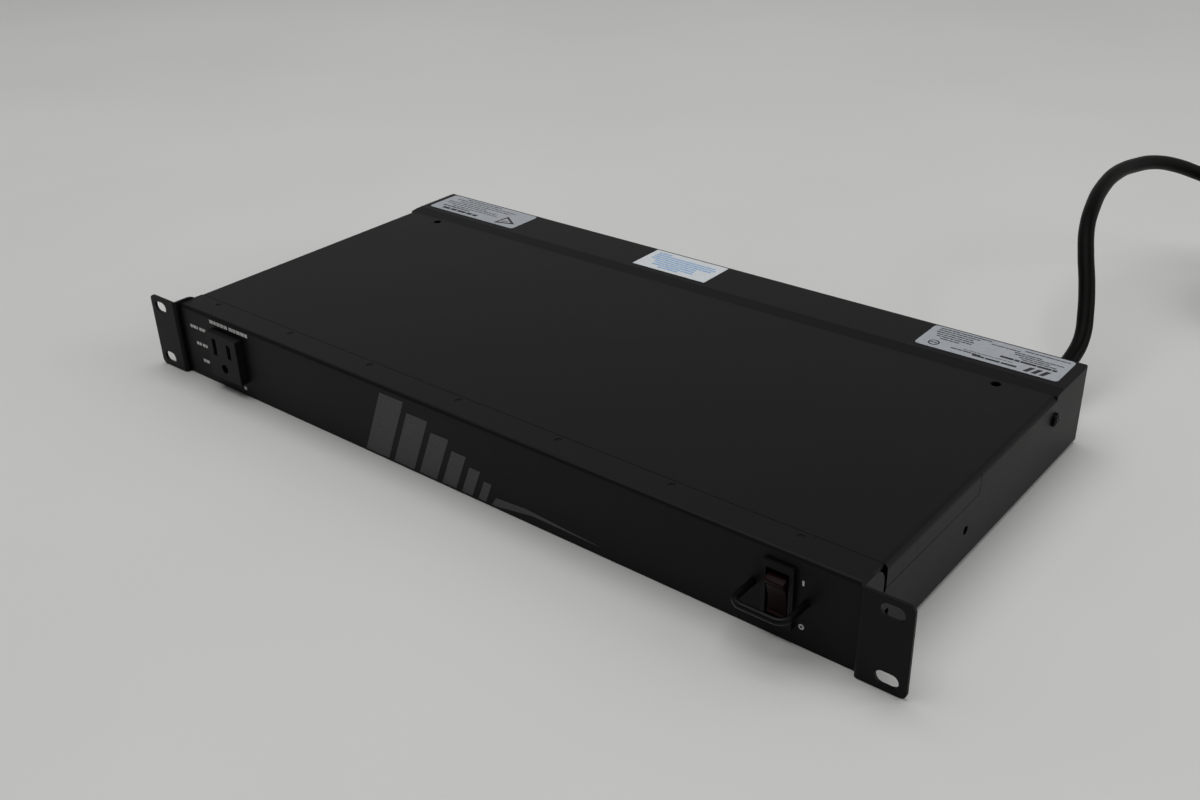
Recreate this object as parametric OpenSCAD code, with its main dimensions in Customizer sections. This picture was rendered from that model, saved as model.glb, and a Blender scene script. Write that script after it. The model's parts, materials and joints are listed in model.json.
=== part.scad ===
// One-unit rack power strip: steel tray with folded ears, recessed front panel,
// stepped top cover, one front outlet, guarded rocker switch, eight rear outlets,
// resettable breaker and a captive mains cord tied in a coil.
// +X is right seen from the front, +Y is to the back, +Z is up, millimetres.

/* [Body] */
// Width over the rack ears
ear_span = 482.6; // [482.6:0.1:482.6]
// Width of the steel body
body_w = 439.5; // [434:0.5:441]
// Depth of the body behind the ear plane
body_d = 224.4; // [210:0.1:260]
// Height of the ears and the side tabs
ear_h = 43.7; // [43:0.1:44.4]
// Height of the front deck
deck_z = 42.6; // [41:0.1:43]
// Sheet steel thickness
sheet_t = 1.5; // [1.2:0.1:1.6]

/* [Front panel] */
// Recess of the panel behind the ears
recess = 3.3; // [3:0.1:5]
// Distance that the front outlet stands proud
outlet_proud = 4.5; // [3:0.5:6]
// Centre of the front outlet
outlet_x = -176.2; // [-180:0.1:-160]
// Centre of the switch
switch_x = 182; // [170:0.1:184]
// Reach of the switch guard in front of the panel
guard_reach = 16.2; // [14:0.1:20]
// Diameter of the guard rod
guard_d = 3.2; // [3:0.1:3.6]

/* [Rear panel] */
// Spacing of the rear outlets
rear_pitch = 42; // [40:0.5:43]
// Centre of the outlet nearest the left end
rear_first_x = -180; // [-182:1:-176]
// Centre of the cord entry
cord_x = 195; // [190:1:196]
// Centre of the breaker
breaker_x = 156; // [154:1:160]

/* [Cord] */
// Diameter of the mains cord
cord_d = 8.8; // [8.2:0.1:9.4]

/* [Hidden] */
$fn = 48;

bx = body_w/2;                 // outer face of a side
t = sheet_t;
zc = 21.85;                    // mid height of the ears
slot_dx = 232.55;              // half the spacing of the rack slots
slot_dz = 15.875;              // half the height between the rack slots
plateau_z = ear_h;             // top of the raised rear strip
step_y0 = body_d - 38.5;       // foot of the slope
step_y1 = body_d - 30.3;       // top of the slope
py = recess;                   // outer face of the front panel
fold_r = 2;                    // outside radius of the ear fold
lap_y = 19;                    // back edge of the panel's top flange
relief_len = 20.1;             // strain relief behind the rear panel
screw_y = body_d - 38.5;       // screws that hold the rear panel in the sides
screw_z = 30.5;
cover_r = 3;                   // bend along the deck's long edges
plateau_r = 0.8;               // the same along the raised strip's ends
floor_r = 3;                   // bend between the floor and each side
rear_r = 1.4;                  // upright rear edges
flap_y0 = 19.7;                // the cover's side flap, from here
flap_y1 = 103.3;               // to here
front_y = recess - guard_reach - guard_d/2;
back_y = body_d + relief_len;
mid_y = (front_y + back_y)/2;

module put() { translate([0, -mid_y, 0]) children(); }
module at_x(x0, x1, pts) {
  translate([x0, 0, 0]) rotate([90, 0, 90]) linear_extrude(x1 - x0) polygon(pts);
}
module rod_y(r, y0, y1, x, z, fn = 48) {
  translate([x, y0, z]) rotate([-90, 0, 0]) cylinder(h = y1 - y0, r = r, $fn = fn);
}
module rod_x(r, x0, x1, y, z, fn = 48) {
  translate([x0, y, z]) rotate([0, 90, 0]) cylinder(h = x1 - x0, r = r, $fn = fn);
}
module box(x0, x1, y0, y1, z0, z1) {
  translate([x0, y0, z0]) cube([x1 - x0, y1 - y0, z1 - z0]);
}
module mirrored() {
  children();
  mirror([1, 0, 0]) children();
}
module rounded_face(w, h, d, r) {
  // a plate w by h in X and Z, d thick in Y from 0, corners of radius r
  rotate([90, 0, 0]) mirror([0, 0, 1]) linear_extrude(d) union() {
    square([w - 2*r, h], center = true);
    square([w, h - 2*r], center = true);
    for (sx = [-1, 1], sz = [-1, 1])
      translate([sx*(w/2 - r), sz*(h/2 - r)]) circle(r = r, $fn = 32);
  }
}

// ---- steel work ----
side_notch_z = 31.3;           // foot of the cut-out for the cover's flap
tab_y = 17.6;                  // back edge of the tab behind each ear
tab_r = 8;                     // round of the tab's upper back corner
// takes the square off the long edges of the top, where they are bent
module edge_round(y0, y1, top, r) {
  mirrored() difference() {
    box(bx - r, bx + 1, y0, y1, top - r, top + 1);
    rod_y(r, y0 - 1, y1 + 1, bx - r, top - r, 48);
  }
}
// the same for the upright rear edges
module rear_round() {
  mirrored() difference() {
    box(bx - rear_r, bx + 1, body_d - rear_r, body_d + 1, -1, plateau_z + 1);
    rod_z(rear_r, bx - rear_r, body_d - rear_r, -2, plateau_z + 2);
  }
}
// the same for the long edges of the floor
module floor_round() {
  mirrored() difference() {
    box(bx - floor_r, bx + 1, 4, body_d + 1, -1, floor_r);
    rod_y(floor_r, 3, body_d + 2, bx - floor_r, floor_r, 48);
  }
}
module ear_slot(x, z) {
  slot_r = 3.2;
  half = 1.9;
  for (s = [-1, 1]) rod_y(slot_r, -1, t + 1, x + s*half, z, 36);
  box(x - half, x + half, -1, t + 1, z - slot_r, z + slot_r);
}
fold_x = bx - t + fold_r;      // axis of the fold
module ear_right() {
  difference() {
    union() {
      box(fold_x, ear_span/2, 0, t, 3, ear_h - 3);
      box(fold_x, ear_span/2 - 3, 0, t, 0, ear_h);
      for (z = [3, ear_h - 3]) rod_y(3, 0, t, ear_span/2 - 3, z, 32);
    }
    ear_slot(slot_dx, zc - slot_dz);
    ear_slot(slot_dx, zc + slot_dz);
  }
  // the fold between the ear and the side
  translate([fold_x, fold_r, 0]) difference() {
    cylinder(h = ear_h, r = fold_r, $fn = 48);
    translate([0, 0, -1]) cylinder(h = ear_h + 2, r = fold_r - t, $fn = 48);
    translate([0, -10, -1]) cube([20, 20, ear_h + 2]);
    translate([-20, 0, -1]) cube([40, 20, ear_h + 2]);
  }
}
module side_right() {
  difference() {
    union() {
      at_x(bx - t, bx, [[fold_r, 0], [body_d - 4.6, 0], [body_d, 2.5], [body_d, plateau_z - t],
        [step_y1, plateau_z - t], [step_y0, deck_z - t], [flap_y1 + 0.4, deck_z - t],
        [flap_y1 + 0.4, side_notch_z], [flap_y0 - 0.4, side_notch_z],
        [flap_y0 - 0.4, side_notch_z - 1.5], [tab_y, side_notch_z - 1.5],
        [tab_y, ear_h - tab_r], [tab_y - tab_r, ear_h - tab_r],
        [tab_y - tab_r, ear_h], [fold_r, ear_h]]);
      rod_x(tab_r, bx - t, bx, tab_y - tab_r, ear_h - tab_r, 64);
    }
    rod_x(2.2, bx - t - 1, bx + 1, 92.8, 18.2);
    rod_x(2.2, bx - t - 1, bx + 1, 21.4, 18.2);
    rod_x(1.9, bx - t - 1, bx + 1, screw_y, screw_z);
    edge_round(flap_y1, step_y0, deck_z, cover_r);
    edge_round(step_y1 - 3, body_d + 1, plateau_z, plateau_r);
    floor_round();
    rear_round();
  }
}
module chassis_tray() color("dimgray") put() {
  difference() {
    box(-bx + t, bx - t, py + t + 0.1, body_d - 6.3, 0, t);
    floor_round();
    rod_z(2.2, -bx + 9, 96, -1, 3);
    rod_z(2.2, bx - 9, 96, -1, 3);
  }
  mirrored() {
    ear_right();
    side_right();
  }
}
module rod_z(r, x, y, z0, z1, fn = 48) {
  translate([x, y, z0]) cylinder(h = z1 - z0, r = r, $fn = fn);
}

weld_x = [for (i = [0:6]) -197.5 + 63.5*i];   // spot welds along the front edge
bend_r = 2;
module front_panel() color("dimgray") put() {
  half = bx - t - 0.1;
  difference() {
    union() {
      box(-half, half, py, py + t, 0, deck_z - bend_r);
      box(-half, half, py + bend_r, lap_y, deck_z - t, deck_z);
      translate([0, py + bend_r, deck_z - bend_r]) difference() {
        rod_x(bend_r, -half, half, 0, 0, 48);
        rod_x(bend_r - t, -half - 1, half + 1, 0, 0, 32);
        box(-half - 1, half + 1, -10, 10, -10, 0);
        box(-half - 1, half + 1, 0, 10, -10, 10);
      }
    }
    box(outlet_x - 10.8, outlet_x + 10.8, 0, 10, zc - 13.3, zc + 13.3);
    box(switch_x - 6.4, switch_x + 6.4, 0, 10, zc - 13.7, zc + 13.7);
    for (s = [-1, 1]) rod_y(guard_d/2 + 0.1, 0, 10, switch_x + s*guard_half, zc, 32);
    for (x = weld_x) rod_z(1.8, x, 15.5, deck_z - 0.25, deck_z + 1, 24);
  }
}

module top_cover() color("dimgray") put() difference() {
  union() {
    box(-bx, bx, lap_y + 0.3, step_y0, deck_z - t, deck_z);
    at_x(-bx, bx, [[step_y0, deck_z - t], [step_y0, deck_z], [step_y1, plateau_z],
      [body_d, plateau_z], [body_d, plateau_z - t], [step_y1, plateau_z - t]]);
    // lip under the panel's top flange
    box(-bx + t + 0.6, bx - t - 0.6, 9, lap_y + 4, deck_z - 2*t, deck_z - t);
    // side flaps that close the sides' cut-outs
    mirrored() box(bx - t, bx, flap_y0, flap_y1, side_notch_z + 0.3, deck_z - t);
  }
  // clear of the tab behind each ear
  mirrored() box(bx - t - 0.4, bx + 1, lap_y, flap_y0, deck_z - t - 1, deck_z + 1);
  for (x = [-191, 191]) rod_z(2.5, x, step_y0 - 4.4, deck_z - 3, deck_z + 1);
  edge_round(lap_y, step_y0, deck_z, cover_r);
  edge_round(step_y1 - 3, body_d + 1, plateau_z, plateau_r);
  rear_round();
}

rear_x = [for (i = [0:7]) rear_first_x + i*rear_pitch];
module rear_panel() color("dimgray") put() {
  half = bx - t - 0.1;
  difference() {
    union() {
      box(-half, half, body_d - t, body_d, 2.6, plateau_z - t);
      box(-half, half, body_d - 6.2, body_d - t, 2.6, 4.1);
      mirrored() box(half - t, half, body_d - 42, body_d - t, 4.1, 37);
    }
    for (x = rear_x) box(x - 11.2, x + 11.2, body_d - t - 1, body_d + 1, zc - 13.7, zc + 13.7);
    rod_y(5.6, body_d - t - 1, body_d + 1, breaker_x, zc);
    rod_y(7, body_d - t - 1, body_d + 1, cord_x, 20);
    for (s = [-1, 1]) rod_x(1.5, s*half - 3, s*half + 3, screw_y, screw_z);
  }
}

module side_screw() translate([bx, screw_y, screw_z]) {
  difference() {
    union() {
      rod_x(3.5, 0, 1.3, 0, 0);
      translate([1.3, 0, 0]) rotate([0, 90, 0]) cylinder(h = 0.8, r1 = 3.5, r2 = 2.2, $fn = 48);
    }
    box(1.2, 3, -1.9, 1.9, -0.35, 0.35);
    box(1.2, 3, -0.35, 0.35, -1.9, 1.9);
  }
  rod_x(1.5, -8, 0, 0, 0, 32);
}
module side_screws() color("black") put() mirrored() side_screw();

// ---- outlets: local frame, panel face at y = 0, opening towards -Y, centre at z = 0 ----
slot_rise = 5.2;               // blade slots above the centre
gnd_drop = 6.7;                // earth hole below the centre
gnd_r = 2.7;
module outlet(face_w, face_h, proud, body_half_w, body_half_h, deep) {
  difference() {
    union() {
      translate([0, -proud, 0]) rounded_face(face_w, face_h, proud, 0.8);
      box(-body_half_w, body_half_w, -0.1, deep, -body_half_h, body_half_h);
    }
    // long slot on the viewer's left, short slot on the right
    box(-7.45, -5.25, -proud - 1, deep + 1, slot_rise - 4.5, slot_rise + 4.5);
    box(5.25, 7.45, -proud - 1, deep + 1, slot_rise - 3.7, slot_rise + 3.7);
    // a shallow lead-in around each slot
    box(-8.05, -4.65, -proud - 1, -proud + 0.6, slot_rise - 5.1, slot_rise + 5.1);
    box(4.65, 8.05, -proud - 1, -proud + 0.6, slot_rise - 4.3, slot_rise + 4.3);
    for (s = [-1, 1]) box(s*6.35 - 2.2, s*6.35 + 2.2, 3.5, deep + 1, slot_rise - 4.6, slot_rise + 4.6);
    rod_y(gnd_r, -proud - 1, deep + 1, 0, -gnd_drop, 40);
  }
}
out_deep = 20;
module front_outlet() color("#202020") put() translate([outlet_x, py, zc])
  outlet(26.6, 27, outlet_proud, 10.6, 13.1, out_deep);
module rear_outlet(i) color("#202020") put() translate([rear_x[i], body_d, zc])
  rotate([0, 0, 180]) outlet(25, 30, 1.8, 11, 13.5, out_deep);
module rear_outlet_1() { rear_outlet(0); }
module rear_outlet_2() { rear_outlet(1); }
module rear_outlet_3() { rear_outlet(2); }
module rear_outlet_4() { rear_outlet(3); }
module rear_outlet_5() { rear_outlet(4); }
module rear_outlet_6() { rear_outlet(5); }
module rear_outlet_7() { rear_outlet(6); }
module rear_outlet_8() { rear_outlet(7); }

// a pair of spring leaves beside one blade slot, y measured behind the panel face
module leaf_pair(y1) {
  for (s = [-1, 1]) box(s*1.75 - 0.3, s*1.75 + 0.3, 4.5, y1, slot_rise - 3, slot_rise + 3);
}
module front_contacts() color("goldenrod") put() translate([outlet_x, py, zc]) {
  for (s = [-1, 1]) translate([s*6.35, 0, 0]) {
    leaf_pair(out_deep + 1);
    box(-2.05, 2.05, out_deep + 1, out_deep + 1.8, slot_rise - 3, slot_rise + 3);
    box(-0.4, 0.4, out_deep + 1.8, out_deep + 9, slot_rise - 3, slot_rise + 3);
  }
  box(-4, 4, out_deep + 0.2, out_deep + 1, -gnd_drop - 4, -gnd_drop + 3);
  box(-3, 3, out_deep + 1, out_deep + 8, -gnd_drop - 0.4, -gnd_drop + 0.4);
}
strap_x0 = rear_first_x - 14;
strap_x1 = rear_first_x + 7*rear_pitch + 14;
module bus_hot() color("goldenrod") put() {
  back = body_d - out_deep;
  for (x = rear_x) translate([x - 6.35, body_d, zc]) rotate([0, 0, 180]) {
    leaf_pair(out_deep + 2.4);
    box(-2.05, 2.05, out_deep + 2.4, out_deep + 3.2, slot_rise - 3, slot_rise + 3);
  }
  box(strap_x0, strap_x1, back - 4, back - 3.2, zc + slot_rise - 3, zc + slot_rise + 5);
}
module bus_neutral() color("silver") put() {
  back = body_d - out_deep;
  for (x = rear_x) translate([x + 6.35, body_d, zc]) rotate([0, 0, 180]) {
    leaf_pair(out_deep + 0.6);
    box(-2.05, 2.05, out_deep + 0.6, out_deep + 1.4, slot_rise - 9, slot_rise + 3);
  }
  box(strap_x0, strap_x1, back - 2.2, back - 1.4, zc + slot_rise - 9, zc + slot_rise - 4);
}
module bus_ground() color("darkgoldenrod") put() {
  back = body_d - out_deep;
  box(strap_x0, strap_x1, back - 1, back - 0.2, zc - gnd_drop - 5, zc - gnd_drop + 2.6);
  for (x = rear_x) rod_y(1.2, back - 2, back - 1, x, zc - gnd_drop, 24);
}

// ---- rocker switch ----
bezel_w = 15;
bezel_h = 30;
bezel_t = 2;
win_w = 10.6;
win_h = 23.4;
pivot_y = py + 4.2;
rock_w = 10;
rock_tilt = 10;                // each side of centre
rock_r = 12.2;                 // reach of the rocker's ends from its pivot
rock_mid = 6;                  // pivot to the valley of the face
module switch_housing() color("#202020") put() translate([switch_x, py, zc]) {
  difference() {
    union() {
      translate([0, -bezel_t, 0]) rounded_face(bezel_w, bezel_h, bezel_t, 1.2);
      box(-6.3, 6.3, -0.1, 20, -13.6, 13.6);
    }
    box(-win_w/2, win_w/2, -bezel_t - 1, 10, -win_h/2, win_h/2);
    rod_x(12.7, -win_w/2, win_w/2, 4.2, 0, 64);
    rod_x(1.05, -6.0, 6.0, 4.2, 0, 32);
    box(-4.6, 4.6, 16.8, 18.6, -12, 12);
    for (z = [-8, 0, 8]) box(-2.4, 2.4, 18, 21, z - 0.4, z + 0.4);
  }
}
// the rocker at rest has its lower end pressed in
module switch_rocker() color("darkred") put() translate([switch_x, pivot_y, zc])
  rotate([rock_tilt, 0, 0]) {
    rise = 9.9*tan(rock_tilt);
    intersection() {
      rod_x(rock_r, -rock_w/2, rock_w/2, 0, 0, 64);
      at_x(-rock_w/2, rock_w/2, [[-rock_mid - rise, 9.9], [-rock_mid, 0], [-rock_mid - rise, -9.9],
        [-3, -10.4], [1.5, -4], [3.4, -2.5], [3.4, 2.5], [1.5, 4], [-3, 10.4]]);
    }
    rod_x(1, -5.9, 5.9, 0, 0, 32);
  }
module switch_lamp() color("orangered") put() {
  translate([switch_x, py + 17.7, zc]) rod_x(0.8, -3.6, 3.6, 0, 9, 24);
}
module switch_terminals() color("goldenrod") put() translate([switch_x, py, zc]) {
  for (z = [-8, 0, 8]) difference() {
    box(-2.4, 2.4, 18.7, 28, z - 0.4, z + 0.4);
    rod_z(0.9, 0, 26, z - 1, z + 1, 24);
  }
}

// ---- guard: a bent rod around the switch, threaded behind the panel ----
guard_half = 12.4;
guard_bend = 5;
module guard_corner(s) {
  translate([switch_x + s*(guard_half - guard_bend), py - guard_reach + guard_bend, zc])
    intersection() {
      rotate_extrude($fn = 64) translate([guard_bend, 0]) circle(r = guard_d/2, $fn = 32);
      translate([s > 0 ? 0 : -20, -20, -5]) cube([20, 20, 10]);
    }
}
module switch_guard() color("#303030") put() {
  for (s = [-1, 1]) {
    rod_y(guard_d/2, py - guard_reach + guard_bend, py + t + 7, switch_x + s*guard_half, zc, 32);
    guard_corner(s);
  }
  rod_x(guard_d/2, switch_x - guard_half + guard_bend, switch_x + guard_half - guard_bend,
    py - guard_reach, zc, 32);
}
module guard_nuts() color("silver") put() for (s = [-1, 1])
  translate([switch_x + s*guard_half, py + t, zc]) rotate([-90, 0, 0]) difference() {
    rotate([0, 0, 30]) cylinder(h = 2.6, r = 3.3, $fn = 6);
    translate([0, 0, -1]) cylinder(h = 6, r = guard_d/2 + 0.05, $fn = 32);
  }

// ---- push-to-reset breaker ----
module breaker_body() color("#202020") put() difference() {
  union() {
    box(breaker_x - 7.5, breaker_x + 7.5, body_d - 36, body_d - t, zc - 13, zc + 13);
    rod_y(5.5, body_d - t - 1, body_d + 5, breaker_x, zc);
  }
  rod_y(3.3, body_d - 26, body_d + 6, breaker_x, zc);
}
module breaker_nut() color("silver") put() difference() {
  translate([breaker_x, body_d, zc]) rotate([-90, 0, 0]) cylinder(h = 2.4, r = 8, $fn = 6);
  rod_y(5.52, body_d - 1, body_d + 6, breaker_x, zc);
}
module breaker_button() color("white") put() {
  rod_y(3.24, body_d - 22, body_d + 6.6, breaker_x, zc);
  translate([breaker_x, body_d + 6.6, zc]) rotate([-90, 0, 0]) cylinder(h = 0.6, r1 = 3.24, r2 = 2.6);
}

// ---- parts inside ----
module surge_board() color("darkgreen") put() difference() {
  box(60, 150, 70, 130, 9, 10.6);
  for (x = [64, 146], y = [74, 126]) rod_z(1.6, x, y, 8, 12, 24);
}
module board_standoffs() color("silver") put() for (x = [64, 146], y = [74, 126]) {
  rod_z(2.8, x, y, t, 9, 24);
  rod_z(1.5, x, y, 9, 10.6, 24);
  rod_z(2.8, x, y, 10.6, 12.4, 24);
}
varistor_x = [73.2, 92.4, 111.6];
module varistors() color("teal") put() for (x = varistor_x) {
  rod_y(8, 96, 101, x, 20.6, 40);
  for (s = [-3, 3]) rod_z(0.4, x + s, 98.5, 10.6, 13.2, 16);
}
module filter_capacitor() color("goldenrod") put() box(68, 94, 78, 88, 10.6, 27);
module choke() color("sienna") put() translate([128, 86, 10.6])
  rotate_extrude($fn = 48) translate([4.5, 0]) square([7, 9]);
module ground_stud() color("silver") put() rod_z(2, -150, 150, t, 14);
module ground_nut() color("silver") put() difference() {
  translate([-150, 150, 4]) cylinder(h = 3.2, r = 4, $fn = 6);
  rod_z(2.03, -150, 150, 3, 9, 32);
}

// ---- labels on the raised strip ----
module label(x0, x1) { box(x0, x1, body_d - 26.4, body_d - 1.3, plateau_z, plateau_z + 0.2); }
module label_left() color("silver") put() label(-215, -140.5);
module label_middle() color("white") put() label(-43, 8.4);
module label_right() color("silver") put() label(139.3, 214.4);

// ---- cord ----
cord_r = cord_d/2;
module strain_relief() color("#181818") put() difference() {
  union() {
    rod_y(9, body_d, body_d + 3, cord_x, 20);
    translate([cord_x, body_d + 3, 20]) rotate([-90, 0, 0]) cylinder(h = relief_len - 3, r1 = 8, r2 = 5.6);
    rod_y(6.8, body_d - t - 0.1, body_d, cord_x, 20);
    rod_y(8.4, body_d - t - 6, body_d - t, cord_x, 20);
  }
  for (i = [0:3]) translate([cord_x, body_d + 6 + 3.4*i, 20]) rotate([-90, 0, 0]) difference() {
    cylinder(h = 1, r = 12);
    translate([0, 0, -1]) cylinder(h = 3, r = 6.3 - 0.35*i);
  }
}

// smooth line through hand-set points
function cm(a, b, c, d, u) = 0.5*(2*b + (c - a)*u + (2*a - 5*b + 4*c - d)*u*u
  + (3*b - a - 3*c + d)*u*u*u);
function smooth(P, k) = [for (i = [0:len(P) - 2], j = [0:k - 1])
  cm(P[max(i - 1, 0)], P[i], P[i + 1], P[min(i + 2, len(P) - 1)], j/k), P[len(P) - 1]];
function unit(v) = v/norm(v);
function dir_at(P, i) = i == 0 ? unit(P[1] - P[0])
  : i == len(P) - 1 ? unit(P[i] - P[i - 1]) : unit(P[i + 1] - P[i - 1]);
function ring(P, i, r, n) = let (d = dir_at(P, i), s = unit(cross(d, [0, 0, 1])), u = cross(s, d))
  [for (k = [0:n - 1]) P[i] + r*(cos(360*k/n)*s + sin(360*k/n)*u)];
module tube(P, r, n) {
  m = len(P);
  pts = [for (i = [0:m - 1]) each ring(P, i, r, n)];
  wall = [for (i = [0:m - 2], k = [0:n - 1]) each [
    [i*n + k, (i + 1)*n + k, (i + 1)*n + (k + 1)%n],
    [i*n + k, (i + 1)*n + (k + 1)%n, i*n + (k + 1)%n]]];
  caps = [[for (k = [0:n - 1]) k], [for (k = [n - 1:-1:0]) (m - 1)*n + k]];
  polyhedron(points = pts, faces = concat(wall, caps), convexity = 8);
}
coil_x = 292;
coil_y = 460;
coil_mid = 48;
route = [[195, 244.5, 20], [196, 258, 20], [197, 270, 23], [196, 284, 29], [192, 296, 38],
  [186, 309, 49], [179, 322, 59], [172, 338, 68], [167, 358, 75], [163, 384, 79],
  [162, 410, 80], [164, 434, 78], [169, 456, 75], [177, 476, 69], [187, 493, 61],
  [201, 506, 53], [219, 514, 45], [238, 516, 39], [255, 513, 34], [268, 510, 31]];
lead = [[349, 437, 4.5], [349, 420, 5], [349, 406, 8], [349, 392, 12], [349, 378, 14]];
plug_x = 349;                  // the plug lies beside the coil
plug_y = 378;
module power_cord() color("#181818") put() tube(smooth(route, 2), cord_r, 12);
module cord_coil() color("#181818") put() translate([coil_x, coil_y, 0])
  rotate_extrude($fn = 64) translate([coil_mid - 1.5*cord_d, 0]) square([3*cord_d, 3*cord_d]);
module cord_tie() color("#303030") put() translate([coil_x - coil_mid, coil_y, 0]) difference() {
  box(-1.5*cord_d - 1.6, 1.5*cord_d + 1.6, -4, 4, 0, 3*cord_d + 1.2);
  translate([coil_mid, 0, -1]) rotate_extrude($fn = 64)
    translate([coil_mid - 1.5*cord_d - 0.1, 0]) square([3*cord_d + 0.2, 3*cord_d + 1.1]);
}
module cord_lead() color("#181818") put() tube(smooth(lead, 2), cord_r, 12);
module plug_body() color("#202020") put() translate([plug_x, plug_y, 14]) rotate([90, 0, 0]) {
  cylinder(h = 12, r1 = 6, r2 = 7.5);
  translate([0, 0, 12]) cylinder(h = 14, r1 = 7.5, r2 = 12.5);
  translate([0, 0, 26]) cylinder(h = 16, r1 = 12.5, r2 = 13.8);
}
plug_face = plug_y - 42;
module plug_blades() color("gold") put() for (s = [-1, 1])
  translate([plug_x + s*6.35, plug_face, 20]) difference() {
    box(-0.75, 0.75, -16.5, 0, -3.1, 3.2);
    rod_x(1.6, -2, 2, -12, 0, 24);
  }
pin_r = 2.38;
pin_y = plug_face - 17.5;
module plug_ground_pin() color("gold") put() {
  rod_y(pin_r, pin_y, plug_face, plug_x, 8.2, 32);
  translate([plug_x, pin_y, 8.2]) rotate([90, 0, 0]) cylinder(h = 1.8, r1 = pin_r, r2 = 1.2, $fn = 32);
}

// leads from the cord entry to the breaker, the switch, the board and the front outlet
wire_a = [[195, 216.5, 20], [195, 208, 18], [193, 178, 9], [190, 124, 6], [188, 70, 6],
  [184, 44, 10], [182, 33, 14]];
wire_b = [[191, 216.5, 22], [187, 204, 18], [178, 174, 11], [168, 144, 5], [157, 100, 5],
  [152, 54, 5], [110, 44, 5], [0, 44, 5], [-120, 40, 5], [-160, 36, 12], [-171, 32, 16]];
wire_c = [[199, 216.5, 18], [201, 204, 10], [196, 178, 4], [160, 164, 3.2], [0, 160, 3.2],
  [-100, 158, 4], [-142, 152, 5]];
wire_r = 1.4;
module wire_harness() color("red") put() {
  tube(smooth(wire_a, 2), wire_r, 8);
  tube(smooth(wire_b, 2), wire_r, 8);
  tube(smooth(wire_c, 2), wire_r, 8);
}

chassis_tray();
front_panel();
top_cover();
rear_panel();
side_screws();
front_outlet();
front_contacts();
switch_housing();
switch_rocker();
switch_lamp();
switch_terminals();
switch_guard();
guard_nuts();
rear_outlet_1();
rear_outlet_2();
rear_outlet_3();
rear_outlet_4();
rear_outlet_5();
rear_outlet_6();
rear_outlet_7();
rear_outlet_8();
bus_hot();
bus_neutral();
bus_ground();
breaker_body();
breaker_nut();
breaker_button();
surge_board();
board_standoffs();
varistors();
filter_capacitor();
choke();
ground_stud();
ground_nut();
wire_harness();
label_left();
label_middle();
label_right();
strain_relief();
power_cord();
cord_coil();
cord_tie();
cord_lead();
plug_body();
plug_blades();
plug_ground_pin();
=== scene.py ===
import json
import math

import bmesh
import bpy
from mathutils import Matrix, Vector


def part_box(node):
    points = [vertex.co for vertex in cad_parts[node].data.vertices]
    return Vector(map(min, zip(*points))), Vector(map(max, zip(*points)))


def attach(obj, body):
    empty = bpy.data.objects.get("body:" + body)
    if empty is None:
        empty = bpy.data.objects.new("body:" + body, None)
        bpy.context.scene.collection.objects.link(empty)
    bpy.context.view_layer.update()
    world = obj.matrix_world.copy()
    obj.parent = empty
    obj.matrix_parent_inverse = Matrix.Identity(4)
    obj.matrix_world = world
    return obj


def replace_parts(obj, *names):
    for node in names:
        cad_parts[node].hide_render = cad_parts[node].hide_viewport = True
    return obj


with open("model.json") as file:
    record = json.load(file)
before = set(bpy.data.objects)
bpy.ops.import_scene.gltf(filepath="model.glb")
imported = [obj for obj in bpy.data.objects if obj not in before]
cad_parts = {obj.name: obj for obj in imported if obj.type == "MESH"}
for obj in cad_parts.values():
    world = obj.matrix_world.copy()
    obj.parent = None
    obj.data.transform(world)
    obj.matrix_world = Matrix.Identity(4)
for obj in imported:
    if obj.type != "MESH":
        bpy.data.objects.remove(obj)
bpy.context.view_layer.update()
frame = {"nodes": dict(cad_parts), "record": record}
nodes = frame["nodes"]
MM = 0.001
MID_Y = 115.0                     # the origin lies this far behind the ears' front plane
DECK_Z = 42.6                     # height of the top cover's deck


def row(x, y, z):
    """A point measured from the ears' front plane and the underside, in the row frame."""
    return Vector((x * MM, (y - MID_Y) * MM, z * MM))


# ---------------------------------------------------------------- camera
eye = bpy.data.cameras.new("eye")
eye.lens = 38.15
eye.sensor_width = 36
camera = bpy.data.objects.new("eye", eye)
camera.location = (0.3913, -0.4676, 0.3328)
camera.rotation_euler = [math.radians(turn) for turn in (61.47, 1.58, 39.19)]
bpy.context.scene.collection.objects.link(camera)
bpy.context.scene.camera = camera


# ---------------------------------------------------------------- small tools
def linear(code):
    """An sRGB hex colour as linear red, green, blue and alpha."""
    channels = [int(code[i:i + 2], 16) / 255 for i in (0, 2, 4)]
    return (*[c / 12.92 if c <= 0.04045 else ((c + 0.055) / 1.055) ** 2.4 for c in channels], 1.0)


def add(tree, kind, values=None, links=None, stops=(), **settings):
    """One shader node: its settings, the values of its sockets, what is joined to them, and the
    (position, hex) stops of a colour ramp."""
    made = tree.nodes.new(kind)
    for name, value in settings.items():
        setattr(made, name, value)
    for name, value in (values or {}).items():
        made.inputs[name].default_value = value
    for name, output in (links or {}).items():
        tree.links.new(output, made.inputs[name])
    for k, (place, code) in enumerate(stops):
        if k > 1:
            made.color_ramp.elements.new(place)
        made.color_ramp.elements[k].position = place
        made.color_ramp.elements[k].color = linear(code)
    return made


def blank(name):
    """A new material with an empty node tree, and that tree."""
    made = bpy.data.materials.new(name)
    made.use_nodes = True
    made.node_tree.nodes.clear()
    return made, made.node_tree


def mesh_of(name, bm, smooth=False):
    """A mesh from a bmesh, with its normals outward."""
    bmesh.ops.recalc_face_normals(bm, faces=bm.faces)
    mesh = bpy.data.meshes.new(name)
    bm.to_mesh(mesh)
    bm.free()
    for polygon in mesh.polygons:
        polygon.use_smooth = smooth
    return mesh


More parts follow.
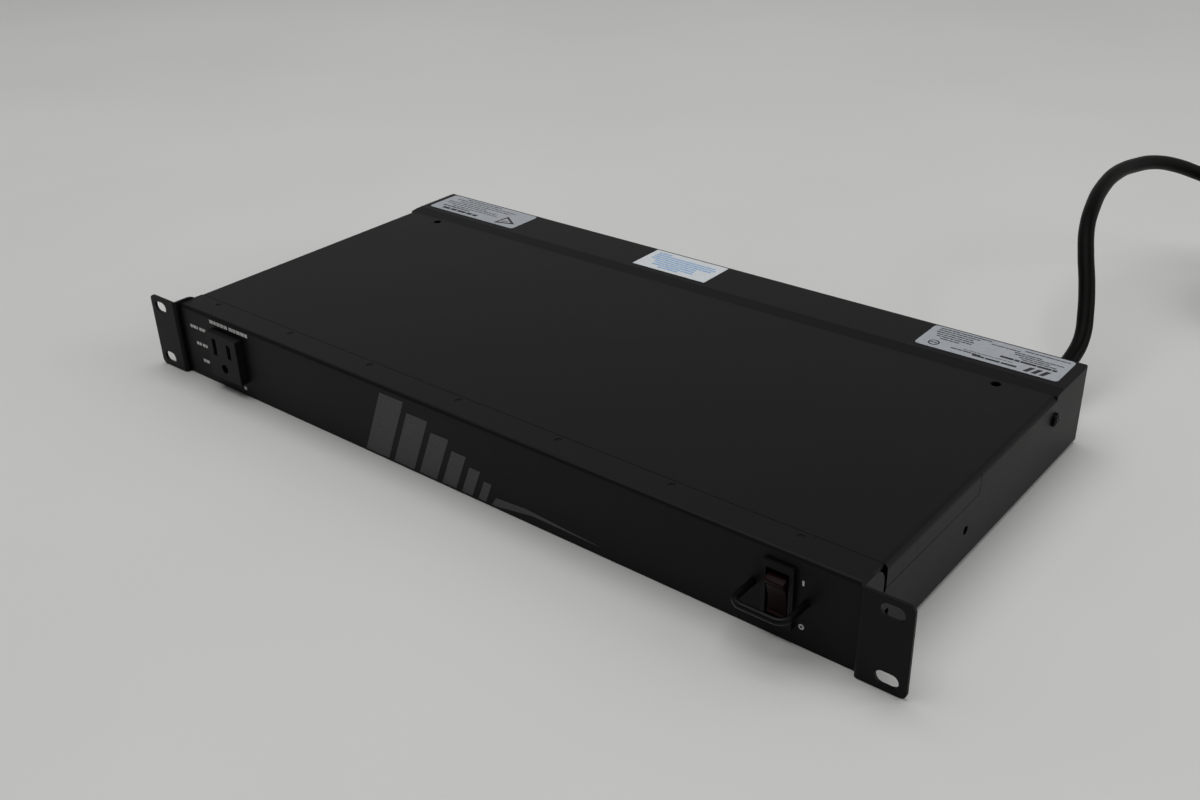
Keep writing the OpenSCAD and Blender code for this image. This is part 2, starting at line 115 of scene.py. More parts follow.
def piece(name, bm, body, material, smooth=False):
    """An object from a bmesh, riding on a body and wearing the material it is given."""
    mesh = mesh_of(name, bm, smooth)
    made = bpy.data.objects.new(name, mesh)
    bpy.context.scene.collection.objects.link(made)
    mesh.materials.append(material)
    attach(made, body)
    return made


def slab(bm, outline, place, thick):
    """Adds a thin flat piece: an outline of (a, b) points in millimetres, put into the row
    frame by place(a, b, height), from height 0 to thick."""
    low = [bm.verts.new(place(a, b, 0)) for a, b in outline]
    high = [bm.verts.new(place(a, b, thick)) for a, b in outline]
    bm.faces.new(low[::-1])
    bm.faces.new(high)
    for i in range(len(outline)):
        j = (i + 1) % len(outline)
        bm.faces.new((low[i], low[j], high[j], high[i]))


def circle(x, y, r):
    """The outline of a small printed ring."""
    count = 28
    turns = [math.tau * k / count for k in range(count)]
    return [(x + r * math.cos(a), y + r * math.sin(a)) for a in turns]


def band(bm, outside, inside, place, thick):
    """A closed band between two outlines with the same number of points."""
    for k in range(len(outside)):
        j = (k + 1) % len(outside)
        slab(bm, [outside[k], outside[j], inside[j], inside[k]], place, thick)


def oblong(x0, x1, y0, y1, r=0.0, steps=5):
    """The outline of a rectangle with round corners."""
    if r <= 0:
        return [(x0, y0), (x1, y0), (x1, y1), (x0, y1)]
    points = []
    corners = ((x1 - r, y0 + r, -90), (x1 - r, y1 - r, 0), (x0 + r, y1 - r, 90), (x0 + r, y0 + r, 180))
    for cx, cy, start in corners:
        for k in range(steps + 1):
            a = math.radians(start + 90 * k / steps)
            points.append((cx + r * math.cos(a), cy + r * math.sin(a)))
    return points


# ---------------------------------------------------------------- materials
def powder_coated_steel():
    """Steel with a baked black powder coat: a soft satin sheen, a fine orange peel, cloudy patches
    where hands and dust have dulled it, and one rubbed smear on the deck."""
    made, tree = blank("powder coated steel")
    place = add(tree, "ShaderNodeTexCoord").outputs["Object"]
    clouds = add(tree, "ShaderNodeTexNoise", {"Scale": 1000 / 90, "Detail": 5, "Roughness": 0.62},
                 {"Vector": place})
    dust = add(tree, "ShaderNodeTexNoise", {"Scale": 1000 / 6, "Detail": 3, "Roughness": 0.7},
               {"Vector": place})
    # orange peel cells are about 0.8 mm; drawn at 1.2 mm so that they show
    peel = add(tree, "ShaderNodeTexNoise", {"Scale": 1000 / 1.2, "Detail": 2}, {"Vector": place})
    # the smear: a soft streak about 40 mm long in the middle of the deck
    smear = add(tree, "ShaderNodeMapping",
                {"Location": tuple(row(12, 108, DECK_Z)), "Rotation": (0, 0, math.radians(34)),
                 "Scale": (0.021, 0.0035, 0.02)},
                {"Vector": place}, vector_type="TEXTURE")
    streak = add(tree, "ShaderNodeTexGradient", links={"Vector": smear.outputs[0]},
                 gradient_type="SPHERICAL")
    rubbed = add(tree, "ShaderNodeMath", links={0: streak.outputs["Fac"], 1: dust.outputs["Fac"]},
                 operation="MULTIPLY")
    paint = add(tree, "ShaderNodeValToRGB", links={"Fac": clouds.outputs["Fac"]},
                stops=((0.3, "0f0f10"), (0.72, "141414")))
    colour = add(tree, "ShaderNodeMix", {"B": linear("060606")},
                 {"Factor": rubbed.outputs[0], "A": paint.outputs["Color"]}, data_type="RGBA")
    gloss = add(tree, "ShaderNodeMapRange", {"To Min": 0.36, "To Max": 0.48},
                {"Value": clouds.outputs["Fac"]})
    rough = add(tree, "ShaderNodeMath", {1: 0.05}, {0: dust.outputs["Fac"], 2: gloss.outputs[0]},
                operation="MULTIPLY_ADD")
    edges = add(tree, "ShaderNodeBevel", {"Radius": 0.0003}, samples=4)
    bump = add(tree, "ShaderNodeBump", {"Strength": 0.14, "Distance": 0.00006},
               {"Height": peel.outputs["Fac"], "Normal": edges.outputs["Normal"]})
    coat = add(tree, "ShaderNodeBsdfPrincipled", {"IOR": 1.5, "Specular IOR Level": 0.12},
               {"Base Color": colour.outputs["Result"], "Roughness": rough.outputs[0],
                "Normal": bump.outputs["Normal"]})
    add(tree, "ShaderNodeOutputMaterial", links={"Surface": coat.outputs[0]})
    return made


def moulded_plastic(name, dark, light, rough_low, rough_high, grain_mm, depth=0.00002, specular=0.18):
    """Moulded ABS, nylon or epoxy: even colour with slight flow marks, and the fine spark-eroded
    grain of its mould, which scatters the highlights."""
    made, tree = blank(name)
    place = add(tree, "ShaderNodeTexCoord").outputs["Object"]
    flow = add(tree, "ShaderNodeTexNoise", {"Scale": 1000 / 16, "Detail": 4}, {"Vector": place})
    grain = add(tree, "ShaderNodeTexVoronoi", {"Scale": 1000 / grain_mm}, {"Vector": place})
    colour = add(tree, "ShaderNodeValToRGB", links={"Fac": flow.outputs["Fac"]},
                 stops=((0.3, dark), (0.7, light)))
    rough = add(tree, "ShaderNodeMapRange", {"To Min": rough_low, "To Max": rough_high},
                {"Value": flow.outputs["Fac"]})
    bump = add(tree, "ShaderNodeBump", {"Strength": 0.25, "Distance": depth},
               {"Height": grain.outputs["Distance"]})
    shell = add(tree, "ShaderNodeBsdfPrincipled", {"IOR": 1.5, "Specular IOR Level": specular},
                {"Base Color": colour.outputs["Color"], "Roughness": rough.outputs[0],
                 "Normal": bump.outputs["Normal"]})
    add(tree, "ShaderNodeOutputMaterial", links={"Surface": shell.outputs[0]})
    return made


def tinted_polycarbonate():
    """Red polycarbonate lens over an unlit neon: nearly black red in the middle, with painted highlights
    as a paler band at the top lip and a brownish band at the lower one; a polished skin and faint moulded
    flutes."""
    made, tree = blank("red polycarbonate")
    place = add(tree, "ShaderNodeTexCoord").outputs["Object"]
    height = add(tree, "ShaderNodeSeparateXYZ", links={"Vector": place})
    low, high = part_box("switch_rocker")
    painted_highlight_height = add(tree, "ShaderNodeMapRange", {"From Min": low.z, "From Max": high.z},
               {"Value": height.outputs["Z"]})
    depth = add(tree, "ShaderNodeTexNoise", {"Scale": 1000 / 11, "Detail": 2}, {"Vector": place})
    uneven = add(tree, "ShaderNodeMath", {1: 0.06}, {0: depth.outputs["Fac"], 2: painted_highlight_height.outputs[0]},
                 operation="MULTIPLY_ADD")
    # the ramp runs up the rocker: its brownish lowest stop and paler top stop are painted highlights on
    # the two lips, the dark stops between are the lens's own red
    colour = add(tree, "ShaderNodeValToRGB", links={"Fac": uneven.outputs[0]},
                 stops=((0.08, "261510"), (0.18, "120102"), (0.8, "150102"), (0.95, "1e0c0e")))
    flutes = add(tree, "ShaderNodeTexWave", {"Scale": 1000 / 7, "Distortion": 0}, {"Vector": place},
                 bands_direction="Z")
    bump = add(tree, "ShaderNodeBump", {"Strength": 0.1, "Distance": 0.00005},
               {"Height": flutes.outputs["Fac"]})
    rough = add(tree, "ShaderNodeMapRange", {"To Min": 0.2, "To Max": 0.32},
                {"Value": depth.outputs["Fac"]})
    lens = add(tree, "ShaderNodeBsdfPrincipled", {"IOR": 1.58, "Specular IOR Level": 0.04},
               {"Base Color": colour.outputs["Color"], "Roughness": rough.outputs[0],
                "Normal": bump.outputs["Normal"]})
    add(tree, "ShaderNodeOutputMaterial", links={"Surface": lens.outputs[0]})
    return made


def plated_metal(name, dark, light, rough_low, rough_high, brush_mm):
    """Plated or stamped metal: a bright skin with fine drawing lines and slightly uneven tone."""
    made, tree = blank(name)
    place = add(tree, "ShaderNodeTexCoord").outputs["Object"]
    drawn = add(tree, "ShaderNodeMapping", {"Scale": (1, 6, 1)}, {"Vector": place})
    lines = add(tree, "ShaderNodeTexNoise", {"Scale": 1000 / brush_mm, "Detail": 3},
                {"Vector": drawn.outputs["Vector"]})
    tone = add(tree, "ShaderNodeTexNoise", {"Scale": 1000 / 8, "Detail": 3}, {"Vector": place})
    colour = add(tree, "ShaderNodeValToRGB", links={"Fac": tone.outputs["Fac"]},
                 stops=((0.3, dark), (0.7, light)))
    rough = add(tree, "ShaderNodeMapRange", {"To Min": rough_low, "To Max": rough_high},
                {"Value": lines.outputs["Fac"]})
    bump = add(tree, "ShaderNodeBump", {"Strength": 0.08, "Distance": 0.00002},
               {"Height": lines.outputs["Fac"]})
    skin = add(tree, "ShaderNodeBsdfPrincipled", {"Metallic": 1},
               {"Base Color": colour.outputs["Color"], "Roughness": rough.outputs[0],
                "Normal": bump.outputs["Normal"]})
    add(tree, "ShaderNodeOutputMaterial", links={"Surface": skin.outputs[0]})
    return made


def label_film(name, dark, light, metallic, rough_low):
    """Printed label film: an even sheet with a faint fibre and soft sheen."""
    made, tree = blank(name)
    place = add(tree, "ShaderNodeTexCoord").outputs["Object"]
    fibre = add(tree, "ShaderNodeTexNoise", {"Scale": 1000 / 2.4, "Detail": 4, "Roughness": 0.7},
                {"Vector": place})
    colour = add(tree, "ShaderNodeValToRGB", links={"Fac": fibre.outputs["Fac"]},
                 stops=((0.3, dark), (0.7, light)))
    rough = add(tree, "ShaderNodeMapRange", {"To Min": rough_low, "To Max": rough_low + 0.1},
                {"Value": fibre.outputs["Fac"]})
    bump = add(tree, "ShaderNodeBump", {"Strength": 0.06, "Distance": 0.00003},
               {"Height": fibre.outputs["Fac"]})
    film = add(tree, "ShaderNodeBsdfPrincipled", {"Metallic": metallic},
               {"Base Color": colour.outputs["Color"], "Roughness": rough.outputs[0],
                "Normal": bump.outputs["Normal"]})
    add(tree, "ShaderNodeOutputMaterial", links={"Surface": film.outputs[0]})
    return made


def print_ink(name, dark, light):
    """Screen-printed ink: flat, a little uneven where the mesh laid it down."""
    made, tree = blank(name)
    place = add(tree, "ShaderNodeTexCoord").outputs["Object"]
    lay = add(tree, "ShaderNodeTexNoise", {"Scale": 1000 / 1.4, "Detail": 2}, {"Vector": place})
    colour = add(tree, "ShaderNodeValToRGB", links={"Fac": lay.outputs["Fac"]},
                 stops=((0.25, dark), (0.75, light)))
    bump = add(tree, "ShaderNodeBump", {"Strength": 0.05, "Distance": 0.00002},
               {"Height": lay.outputs["Fac"]})
    ink = add(tree, "ShaderNodeBsdfPrincipled", {"Roughness": 0.55, "Specular IOR Level": 0.2},
              {"Base Color": colour.outputs["Color"], "Normal": bump.outputs["Normal"]})
    add(tree, "ShaderNodeOutputMaterial", links={"Surface": ink.outputs[0]})
    return made


def extruded_pvc():
    """Extruded PVC cord jacket: near black, half gloss, with a rubbed bloom and fine draw grain."""
    made, tree = blank("extruded pvc jacket")
    place = add(tree, "ShaderNodeTexCoord").outputs["Object"]
    bloom = add(tree, "ShaderNodeTexNoise", {"Scale": 1000 / 22, "Detail": 5, "Roughness": 0.6},
                {"Vector": place})
    grain = add(tree, "ShaderNodeTexNoise", {"Scale": 1000 / 1.1, "Detail": 2}, {"Vector": place})
    colour = add(tree, "ShaderNodeValToRGB", links={"Fac": bloom.outputs["Fac"]},
                 stops=((0.3, "080807"), (0.75, "0f0e0d")))
    rough = add(tree, "ShaderNodeMapRange", {"To Min": 0.36, "To Max": 0.5},
                {"Value": bloom.outputs["Fac"]})
    bump = add(tree, "ShaderNodeBump", {"Strength": 0.15, "Distance": 0.00006},
               {"Height": grain.outputs["Fac"]})
    skin = add(tree, "ShaderNodeBsdfPrincipled", {"IOR": 1.52, "Specular IOR Level": 0.05},
               {"Base Color": colour.outputs["Color"], "Roughness": rough.outputs[0],
                "Normal": bump.outputs["Normal"]})
    add(tree, "ShaderNodeOutputMaterial", links={"Surface": skin.outputs[0]})
    return made


steel = powder_coated_steel()
outlet_nylon = moulded_plastic("outlet nylon", "101011", "171718", 0.46, 0.6, 0.5)
switch_nylon = moulded_plastic("switch nylon", "0c0c0c", "121213", 0.36, 0.48, 0.4, specular=0.14)
plug_pvc = moulded_plastic("plug pvc", "0f0f0f", "171717", 0.45, 0.6, 0.6, 0.00004)
guard_enamel = moulded_plastic("dipped enamel", "0a0a0a", "101010", 0.3, 0.42, 0.9, specular=0.14)
board_green = moulded_plastic("glass epoxy board", "0f3a20", "17502d", 0.35, 0.5, 0.6)
blue_dip = moulded_plastic("dipped epoxy", "1d4e86", "2a62a0", 0.25, 0.4, 0.8, specular=0.4)
yellow_case = moulded_plastic("polyester capacitor case", "b78a1e", "c99a2c", 0.3, 0.45, 0.8,
                              specular=0.4)
ferrite = moulded_plastic("wound ferrite", "5a3218", "7a4622", 0.4, 0.6, 0.8)
lamp_glass = moulded_plastic("neon lamp glass", "b89a80", "d0b59a", 0.05, 0.12, 0.8, specular=0.5)
lens_red = tinted_polycarbonate()
brass = plated_metal("stamped brass", "b08a45", "cfa860", 0.25, 0.4, 0.4)
zinc = plated_metal("bright zinc plate", "9d9fa3", "c2c4c6", 0.25, 0.42, 0.4)
black_oxide = plated_metal("black oxide steel", "1b1b1d", "2a2a2d", 0.35, 0.5, 0.4)
silver_film = label_film("metallised polyester label", "a6abb1", "b4b9bf", 0.0, 0.42)
white_film = label_film("white vinyl label", "d9dee2", "e6eaed", 0.0, 0.45)
black_ink = print_ink("black label ink", "2a2c2e", "3a3d40")
blue_ink = print_ink("blue label ink", "86acd6", "9dc0e6")
white_ink_and_painted_highlight = print_ink("white panel ink and painted highlight", "c9cac8", "dededc")
grey_ink = print_ink("grey panel ink", "4a4a4b", "545556")
jacket = extruded_pvc()

finish_of = {
    steel: ("chassis_tray", "front_panel", "top_cover", "rear_panel"),
    black_oxide: ("side_screws",),
    outlet_nylon: ("front_outlet", *[f"rear_outlet_{i}" for i in range(1, 9)]),
    switch_nylon: ("switch_housing", "breaker_body", "breaker_button"),
    guard_enamel: ("switch_guard",),
    lens_red: ("switch_rocker",),
    brass: ("front_contacts", "bus_hot", "bus_neutral", "bus_ground", "switch_terminals", "plug_blades",
            "plug_ground_pin"),
    zinc: ("guard_nuts", "breaker_nut", "board_standoffs", "ground_stud", "ground_nut"),
    board_green: ("surge_board",),
    blue_dip: ("varistors",),
    yellow_case: ("filter_capacitor",),
    ferrite: ("choke",),
    lamp_glass: ("switch_lamp",),
    silver_film: ("label_left", "label_right"),
    white_film: ("label_middle",),
    plug_pvc: ("strain_relief", "cord_tie", "plug_body"),
    jacket: ("wire_harness", "power_cord", "cord_coil", "cord_lead"),
}
for finish, names in finish_of.items():
    for name in names:
        nodes[name].data.materials.clear()
        nodes[name].data.materials.append(finish)


# ---------------------------------------------------------------- cord
CORD_D = 8.8
route = [(195, 244.5, 20), (196, 258, 20), (197, 270, 23), (196, 284, 29), (192, 296, 38),
         (186, 309, 49), (179, 322, 59), (172, 338, 68), (167, 358, 75), (163, 384, 79),
         (162, 410, 80), (164, 434, 78), (169, 456, 75), (177, 476, 69), (187, 493, 61),
         (201, 506, 53), (219, 514, 45), (238, 516, 39), (255, 513, 34), (268, 510, 31), (280, 508.4, 26)]
lead = [(349, 448, 4.4), (349, 437, 4.5), (349, 420, 5), (349, 406, 8), (349, 392, 12), (349, 378, 14)]
COIL_X, COIL_Y, COIL_MID = 292, 460, 48
layer = [CORD_D / 2, CORD_D * 1.5, CORD_D * 2.5]
inner, outer = COIL_MID - CORD_D, COIL_MID + CORD_D
seats = [(COIL_MID, layer[2]), (outer, layer[2]), (outer, layer[1]), (COIL_MID, layer[1]),
         (inner, layer[1]),
         (inner, layer[0]), (COIL_MID, layer[0]), (outer, layer[0])]
TURN_START = 170                  # angle at which each turn starts to move to its next seat
TURN_SHIFT = 150                  # degrees that the move takes
KNOT_TURN, KNOTS = 20, 131        # degrees between the coil's knots, and how many there are


def coil_point(turned):
    """Where the wound cord is after turning this many degrees clockwise from the back."""
    k = math.floor((turned - TURN_START) / 360)
    (r0, z0), (r1, z1) = (seats[min(max(i, 0), len(seats) - 1)] for i in (k, k + 1))
    u = min((turned - TURN_START - 360 * k) / TURN_SHIFT, 1)
    u = u * u * (3 - 2 * u)
    r, z = r0 + (r1 - r0) * u, z0 + (z1 - z0) * u
    if r0 == r1 and z0 != z1:
        r += math.copysign(CORD_D / 2, r0 - COIL_MID) * math.sin(math.pi * u)
    a = math.radians(90 - turned)
    return COIL_X + r * math.cos(a), COIL_Y + r * math.sin(a), z


wound = [coil_point(KNOT_TURN * k) for k in range(KNOTS)]
line = bpy.data.curves.new("mains_cord", "CURVE")
line.dimensions = "3D"
line.bevel_depth = CORD_D / 2 * MM
line.bevel_resolution = 5
line.resolution_u = 6
line.use_fill_caps = True
spline = line.splines.new("BEZIER")
centreline = [row(*p) for p in route + wound + lead]
spline.bezier_points.add(len(centreline) - 1)
for knot, p in zip(spline.bezier_points, centreline):
    knot.co = p
    knot.handle_left_type = knot.handle_right_type = "AUTO"
mains_cord = bpy.data.objects.new("mains_cord", line)
bpy.context.scene.collection.objects.link(mains_cord)
line.materials.append(jacket)
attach(mains_cord, "chassis")
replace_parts(mains_cord, "power_cord", "cord_coil", "cord_lead")


# ---------------------------------------------------------------- plug and tie
def plug_grip():
    """The moulded plug: a squarish grip with four ribs, wider towards its face."""
    rings = [(0, 5.6), (2, 6.2), (10, 6.9)]
    for k in range(4):
        low = 6.9 + 0.9 * k
        rings += [(11 + 3 * k, low), (12 + 3 * k, low + 1), (13 + 3 * k, low + 1),
                  (13.6 + 3 * k, low + 0.3)]
    rings += [(25, 11.4), (28, 12.6), (34, 13.3), (40, 13.6), (41.4, 13.3), (42, 12.6)]
    sides, squareness = 40, 2 / 2.6
    bm = bmesh.new()
    loops = []
    for along, half in rings:
        loop = []
        for k in range(sides):
            c, s = math.cos(math.tau * k / sides), math.sin(math.tau * k / sides)
            x, z = (half * math.copysign(abs(v) ** squareness, v) for v in (c, s))
            loop.append(bm.verts.new(row(lead[-1][0] + x, lead[-1][1] - along, lead[-1][2] + z)))
        loops.append(loop)
    for lower, upper in zip(loops, loops[1:]):
        for k in range(sides):
            j = (k + 1) % sides
            bm.faces.new((lower[k], lower[j], upper[j], upper[k]))
    bm.faces.new(loops[0][::-1])
    bm.faces.new(loops[-1])
    return piece("plug_grip", bm, "chassis", plug_pvc, smooth=True)


def coil_strap():
    """A hook-and-loop strap round the coil's turns."""
    half, high, wide = 1.5 * CORD_D, 3 * CORD_D, 12
    inside = oblong(-half - 0.2, half + 0.2, 0.1, high + 0.2, 4.0, 6)
    outside = oblong(-half - 1.5, half + 1.5, 0.0, high + 1.2, 5.0, 6)
    bm = bmesh.new()
    band(bm, outside, inside, lambda a, b, h: row(COIL_X - COIL_MID + a, COIL_Y - wide / 2 + h, b), wide)
    bmesh.ops.remove_doubles(bm, verts=bm.verts, dist=0.00001)
    walls = [f for f in bm.faces if sum(len(e.link_faces) > 2 for e in f.edges) == 2]
    bmesh.ops.delete(bm, geom=walls, context="FACES_ONLY")
    return piece("coil_strap", bm, "chassis", plug_pvc)


grip = plug_grip()
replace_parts(grip, "plug_body")
strap = coil_strap()
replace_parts(strap, "cord_tie")


# ---------------------------------------------------------------- front panel print
INK = 0.03                        # thickness that printed ink is drawn at, millimetres
INK_GAP = 0.02                    # keeps the ink clear of the paint under it
LEAST_BLOCK = 0.6                 # no printed block is narrower than this
panel_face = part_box("front_panel")[0].y
cut_marks = ((3.2, 2.4, 3.0, 2.6), (3.0, 2.6, 3.4), (2.2, 3.0))


def on_panel(a, b, h):
    """A point on the front panel, from mid-width and the underside, standing h off the paint."""
    return Vector((a * MM, panel_face - (INK_GAP + h) * MM, b * MM))


def blocks(bm, x0, x1, base, tall, sizes, gap, place):
    """A line of plain blocks, standing in for a line of print, from x0 to x1."""
    x, k = x0, 0
    while x < x1 - LEAST_BLOCK:
        wide = min(sizes[k % len(sizes)], x1 - x)
        slab(bm, oblong(x, x + wide, base, base + tall), place, INK)
        x += wide + gap
        k += 1


def panel_stripes():
    """A generic row of leaning bars that shrink to the right and run out in a thin rule."""
    lean, base = 0.42, 1.2
    bm = bmesh.new()
    x = -66
    for wide, top in ((17.0, 38.5), (14.5, 33.0), (12.0, 27.5), (9.5, 22.0), (7.0, 17.0), (5.0, 12.5)):
        shift = lean * (top - base)
        slab(bm, [(x, base), (x + wide, base), (x + wide + shift, top), (x + shift, top)], on_panel, INK)
        x += wide + 4.0
    slab(bm, [(x, base), (x + 3, base), (x + 26, 5.0), (92, 4.6), (x + 22, 7.4), (x + 3, 6.0)], on_panel,
         INK)
    piece("panel_stripes", bm, "chassis", grey_ink)


def panel_marks():
    """White print: a title bar over the outlet, short lines beside it and the switch's bar and ring, and
    a painted highlight under the outlet.
    """
    bm = bmesh.new()
    blocks(bm, -190.2, -173.6, 38.1, 2.1, cut_marks[0], 0.45, on_panel)
    blocks(bm, -172.6, -155.5, 38.1, 2.1, cut_marks[1], 0.45, on_panel)
    # the last of these, a short mark at height 3.5 under the outlet's lower right corner, is a painted
    # highlight, not print
    for x0, x1, base in ((-210.2, -203.2, 30.3), (-201.8, -194.6, 30.3), (-207.0, -202.4, 20.3),
                         (-201.2, -197.0, 20.3), (-203.4, -197.6, 10.2), (-167.4, -164.8, 3.5)):
        blocks(bm, x0, x1, base, 1.9, cut_marks[2], 0.4, on_panel)
    slab(bm, oblong(192.3, 193.2, 30.0, 32.4), on_panel, INK)
    band(bm, circle(192.9, 9.9, 1.3), circle(192.9, 9.9, 0.6), on_panel, INK)
    piece("panel_marks", bm, "chassis", white_ink_and_painted_highlight)


panel_stripes()
panel_marks()


# ---------------------------------------------------------------- labels
FILM = 0.2                        # thickness of a label


def label(node, corner_r, film):
    """The film of a label in its CAD place, and a function that puts print on it."""
    low, high = (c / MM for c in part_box(node))

    def place(a, b, h):
        return Vector(((low.x + a) * MM, (low.y + b) * MM, (low.z + h) * MM))

    bm = bmesh.new()
    slab(bm, oblong(0, high.x - low.x, 0, high.y - low.y, corner_r), place, FILM)
    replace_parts(piece(node + "_film", bm, "chassis", film), node)
    return lambda a, b, h: place(a, b, FILM + h)


letters = ((3.4, 2.2, 4.6, 2.8), (2.4, 4.2, 1.8, 3.6), (4.6, 2.0, 3.0))


def label_left():
    """Safety label: a heavy line at the front left, fine lines behind, and a plain triangle."""
    on_label = label("label_left", 2.2, silver_film)
    bm = bmesh.new()
    blocks(bm, 9, 40, 2.6, 2.6, (6.5, 5.0, 7.5, 4.5), 0.9, on_label)
    blocks(bm, 6, 30, 6.9, 1.2, letters[0], 0.6, on_label)
    for k, (x0, x1) in enumerate(((12, 52), (5, 50), (4, 38), (12, 57), (7, 60), (14, 46))):
        blocks(bm, x0, x1, 9.6 + 2.6 * k, 0.8, letters[k % 3], 0.7, on_label)
    band(bm, [(57, 1.8), (71, 6.4), (58.5, 14.6)], [(58.6, 4.0), (67.4, 6.9), (59.6, 12.0)], on_label,
         INK)
    slab(bm, [(60.0, 6.4), (61.0, 5.7), (64.0, 8.2), (63.4, 8.9)], on_label, INK)
    piece("label_left_print", bm, "chassis", black_ink)


def label_middle():
    """White label with eight lines of pale blue print inside a clear border."""
    on_label = label("label_middle", 0, white_film)
    bm = bmesh.new()
    lines = ((16, 31), (10, 39), (10, 39), (8, 38), (4, 47), (4, 48), (4, 46), (4, 14))
    for k, (x0, x1) in enumerate(lines):
        blocks(bm, x0, x1, 2.8 + 2.6 * k, 1.45, letters[k % 3], 0.35, on_label)
    piece("label_middle_print", bm, "chassis", blue_ink)


def label_right():
    """Rating label: fine lines at both ends, a heavy line, a ring mark and three leaning bars."""
    on_label = label("label_right", 2.2, silver_film)
    bm = bmesh.new()
    for k, (x0, x1) in enumerate(((4, 32), (4, 27), (4, 24), (5, 26), (6, 25), (9, 20))):
        blocks(bm, x0, x1, 22.6 - 2.3 * k, 0.95, letters[k % 3], 0.35, on_label)
    blocks(bm, 18, 34, 4.4, 1.0, letters[0], 0.4, on_label)
    blocks(bm, 30, 54, 2.7, 1.7, (6.5, 7.5, 8.0), 0.6, on_label)
    blocks(bm, 24, 50, 6.6, 0.5, letters[1], 0.4, on_label)
    blocks(bm, 42, 71, 9.2, 1.9, (7.0, 2.6, 8.0), 0.5, on_label)
    for k, (x0, x1) in enumerate(((52, 70), (50, 66), (47, 72), (46, 60), (33, 48), (50, 73))):
        blocks(bm, x0, x1, 12.2 + 1.95 * k, 0.85, letters[k % 3], 0.35, on_label)
    band(bm, circle(8.5, 5.4, 3.0), circle(8.5, 5.4, 2.2), on_label, INK)
    blocks(bm, 6.9, 10.3, 4.9, 1.0, (1.5,), 0.3, on_label)
    for x in (57.0, 61.0, 65.0):
        slab(bm, [(x, 1.6), (x + 2.4, 1.6), (x + 4.4, 7.2), (x + 2.0, 7.2)], on_label, INK)
    piece("label_right_print", bm, "chassis", black_ink)


label_left()
label_middle()
label_right()


# ---------------------------------------------------------------- rocker lens
def rocker_lens():
    """The rocker's lens: soft edges, a lip at each end and a hollow between, lower end pressed in."""
    low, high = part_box("switch_rocker")
    centre_x = (low.x + high.x) / 2
    joint = next(j for j in frame["record"]["behaviour"]["joints"] if j["name"] == "rocker_tilt")
    pivot = Vector(joint["pos_m"])
    tilt, half, valley, reach = math.radians(10), 4.6, 6.0, 9.2
    rise = reach * math.tan(tilt)
    face = [(-valley - rise, reach), (-valley - rise + 0.25, reach - 1.9)]
    inside = reach - 2.3
    sharp_turn, edge_r = 0.5, 0.4
    face += [(-valley - rise * 0.62 * (z / inside) ** 2,
              z) for z in (inside * (1 - k / 6) for k in range(13))]
    face += [(-valley - rise + 0.25, 1.9 - reach), (-valley - rise, -reach)]
    profile = face + [(-3, -10.2), (1.4, -4), (3.3, -2.4), (3.3, 2.4), (1.4, 4), (-3, 10.2)]
    bm = bmesh.new()
    rings = []
    for x in (-half, half):
        ring = []
        for y, z in profile:
            away = y * math.cos(tilt) - z * math.sin(tilt)
            up = y * math.sin(tilt) + z * math.cos(tilt)
            ring.append(bm.verts.new(Vector((centre_x + x * MM, pivot.y + away * MM, pivot.z + up * MM))))
        rings.append(ring)
    bm.faces.new(rings[0])
    bm.faces.new(rings[1][::-1])
    for k in range(len(profile)):
        j = (k + 1) % len(profile)
        bm.faces.new((rings[0][k], rings[1][k], rings[1][j], rings[0][j]))
    bmesh.ops.recalc_face_normals(bm, faces=bm.faces)
    sharp = [e for e in bm.edges if len(e.link_faces) == 2 and e.calc_face_angle() > sharp_turn]
    bmesh.ops.bevel(bm, geom=sharp, offset=edge_r * MM, segments=3, profile=0.5, affect="EDGES")
    lens = piece("rocker_lens", bm, "rocker", lens_red, smooth=True)
    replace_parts(lens, "switch_rocker")


rocker_lens()


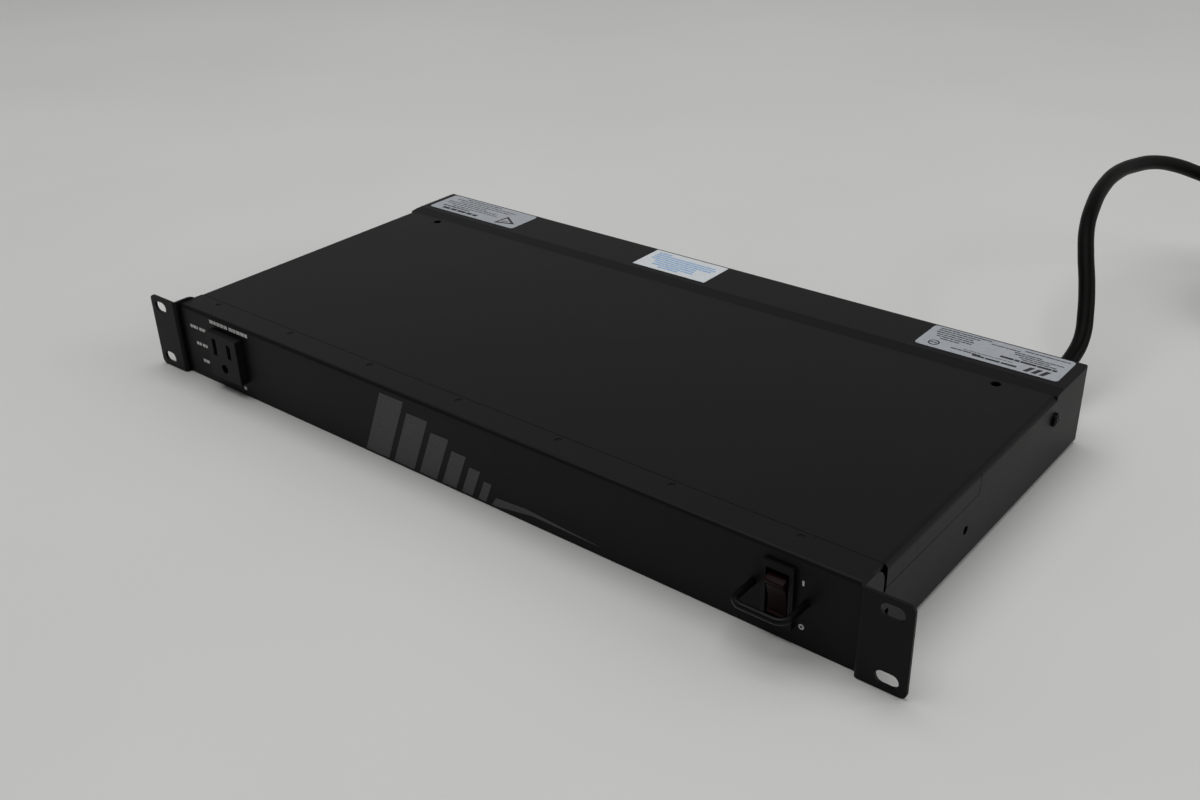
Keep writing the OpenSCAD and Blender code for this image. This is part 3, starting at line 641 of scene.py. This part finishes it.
# ---------------------------------------------------------------- floor and light
def floor():
    """A white laminate table top, eight metres square, just under the feet."""
    far, under = 4, -0.0002
    bm = bmesh.new()
    for x, y in ((-far, -far), (far, -far), (far, far), (-far, far)):
        bm.verts.new((x, y, under))
    bm.faces.new(bm.verts)
    mesh = mesh_of("floor", bm)
    made = bpy.data.objects.new("floor", mesh)
    bpy.context.scene.collection.objects.link(made)
    sheet, tree = blank("white laminate")
    place = add(tree, "ShaderNodeTexCoord").outputs["Object"]
    haze = add(tree, "ShaderNodeTexNoise", {"Scale": 3.0, "Detail": 3.0}, {"Vector": place})
    colour = add(tree, "ShaderNodeValToRGB", links={"Fac": haze.outputs["Fac"]},
                 stops=((0.3, "e4e4e2"), (0.7, "e9e9e7")))
    top = add(tree, "ShaderNodeBsdfPrincipled", {"Roughness": 0.55},
              {"Base Color": colour.outputs["Color"]})
    add(tree, "ShaderNodeOutputMaterial", links={"Surface": top.outputs[0]})
    mesh.materials.append(sheet)


def softbox(name, place, aim, wide, tall, power):
    """A rectangular area light at a place, turned to face a point."""
    light = bpy.data.lights.new(name, "AREA")
    light.shape = "RECTANGLE"
    light.size, light.size_y = wide, tall
    light.energy = power
    made = bpy.data.objects.new(name, light)
    made.location = place
    made.rotation_euler = (Vector(aim) - Vector(place)).to_track_quat("-Z", "Y").to_euler()
    bpy.context.scene.collection.objects.link(made)


def studio():
    """A pale room: walls lighter than the ceiling, and darker towards the front."""
    world = bpy.data.worlds.new("studio")
    bpy.context.scene.world = world
    world.use_nodes = True
    tree = world.node_tree
    tree.nodes.clear()
    ahead = add(tree, "ShaderNodeTexCoord").outputs["Generated"]
    split = add(tree, "ShaderNodeSeparateXYZ", links={"Vector": ahead})
    height = add(tree, "ShaderNodeValToRGB", links={"Fac": split.outputs["Z"]},
                 stops=((0.0, "b4b4b4"), (0.42, "a6a6a6"), (0.66, "6c6c6d"), (1.0, "5e5e5f")))
    front = add(tree, "ShaderNodeMapRange", {"From Min": -0.7, "From Max": 0.3, "To Min": 0.25,
                                             "To Max": 1.0},
                {"Value": split.outputs["Y"]})
    glow = add(tree, "ShaderNodeBackground",
               links={"Color": height.outputs["Color"], "Strength": front.outputs[0]})
    add(tree, "ShaderNodeOutputWorld", links={"Surface": glow.outputs[0]})


floor()
softbox("ceiling", (-0.3, -0.1, 2.5), (0, 0, 0), 2.4, 2.4, 36)
softbox("window", (2.0, 0.9, 1.2), (0, 0, 0.02), 1.4, 1.0, 11)
studio()
bpy.context.scene.view_settings.view_transform = "Standard"
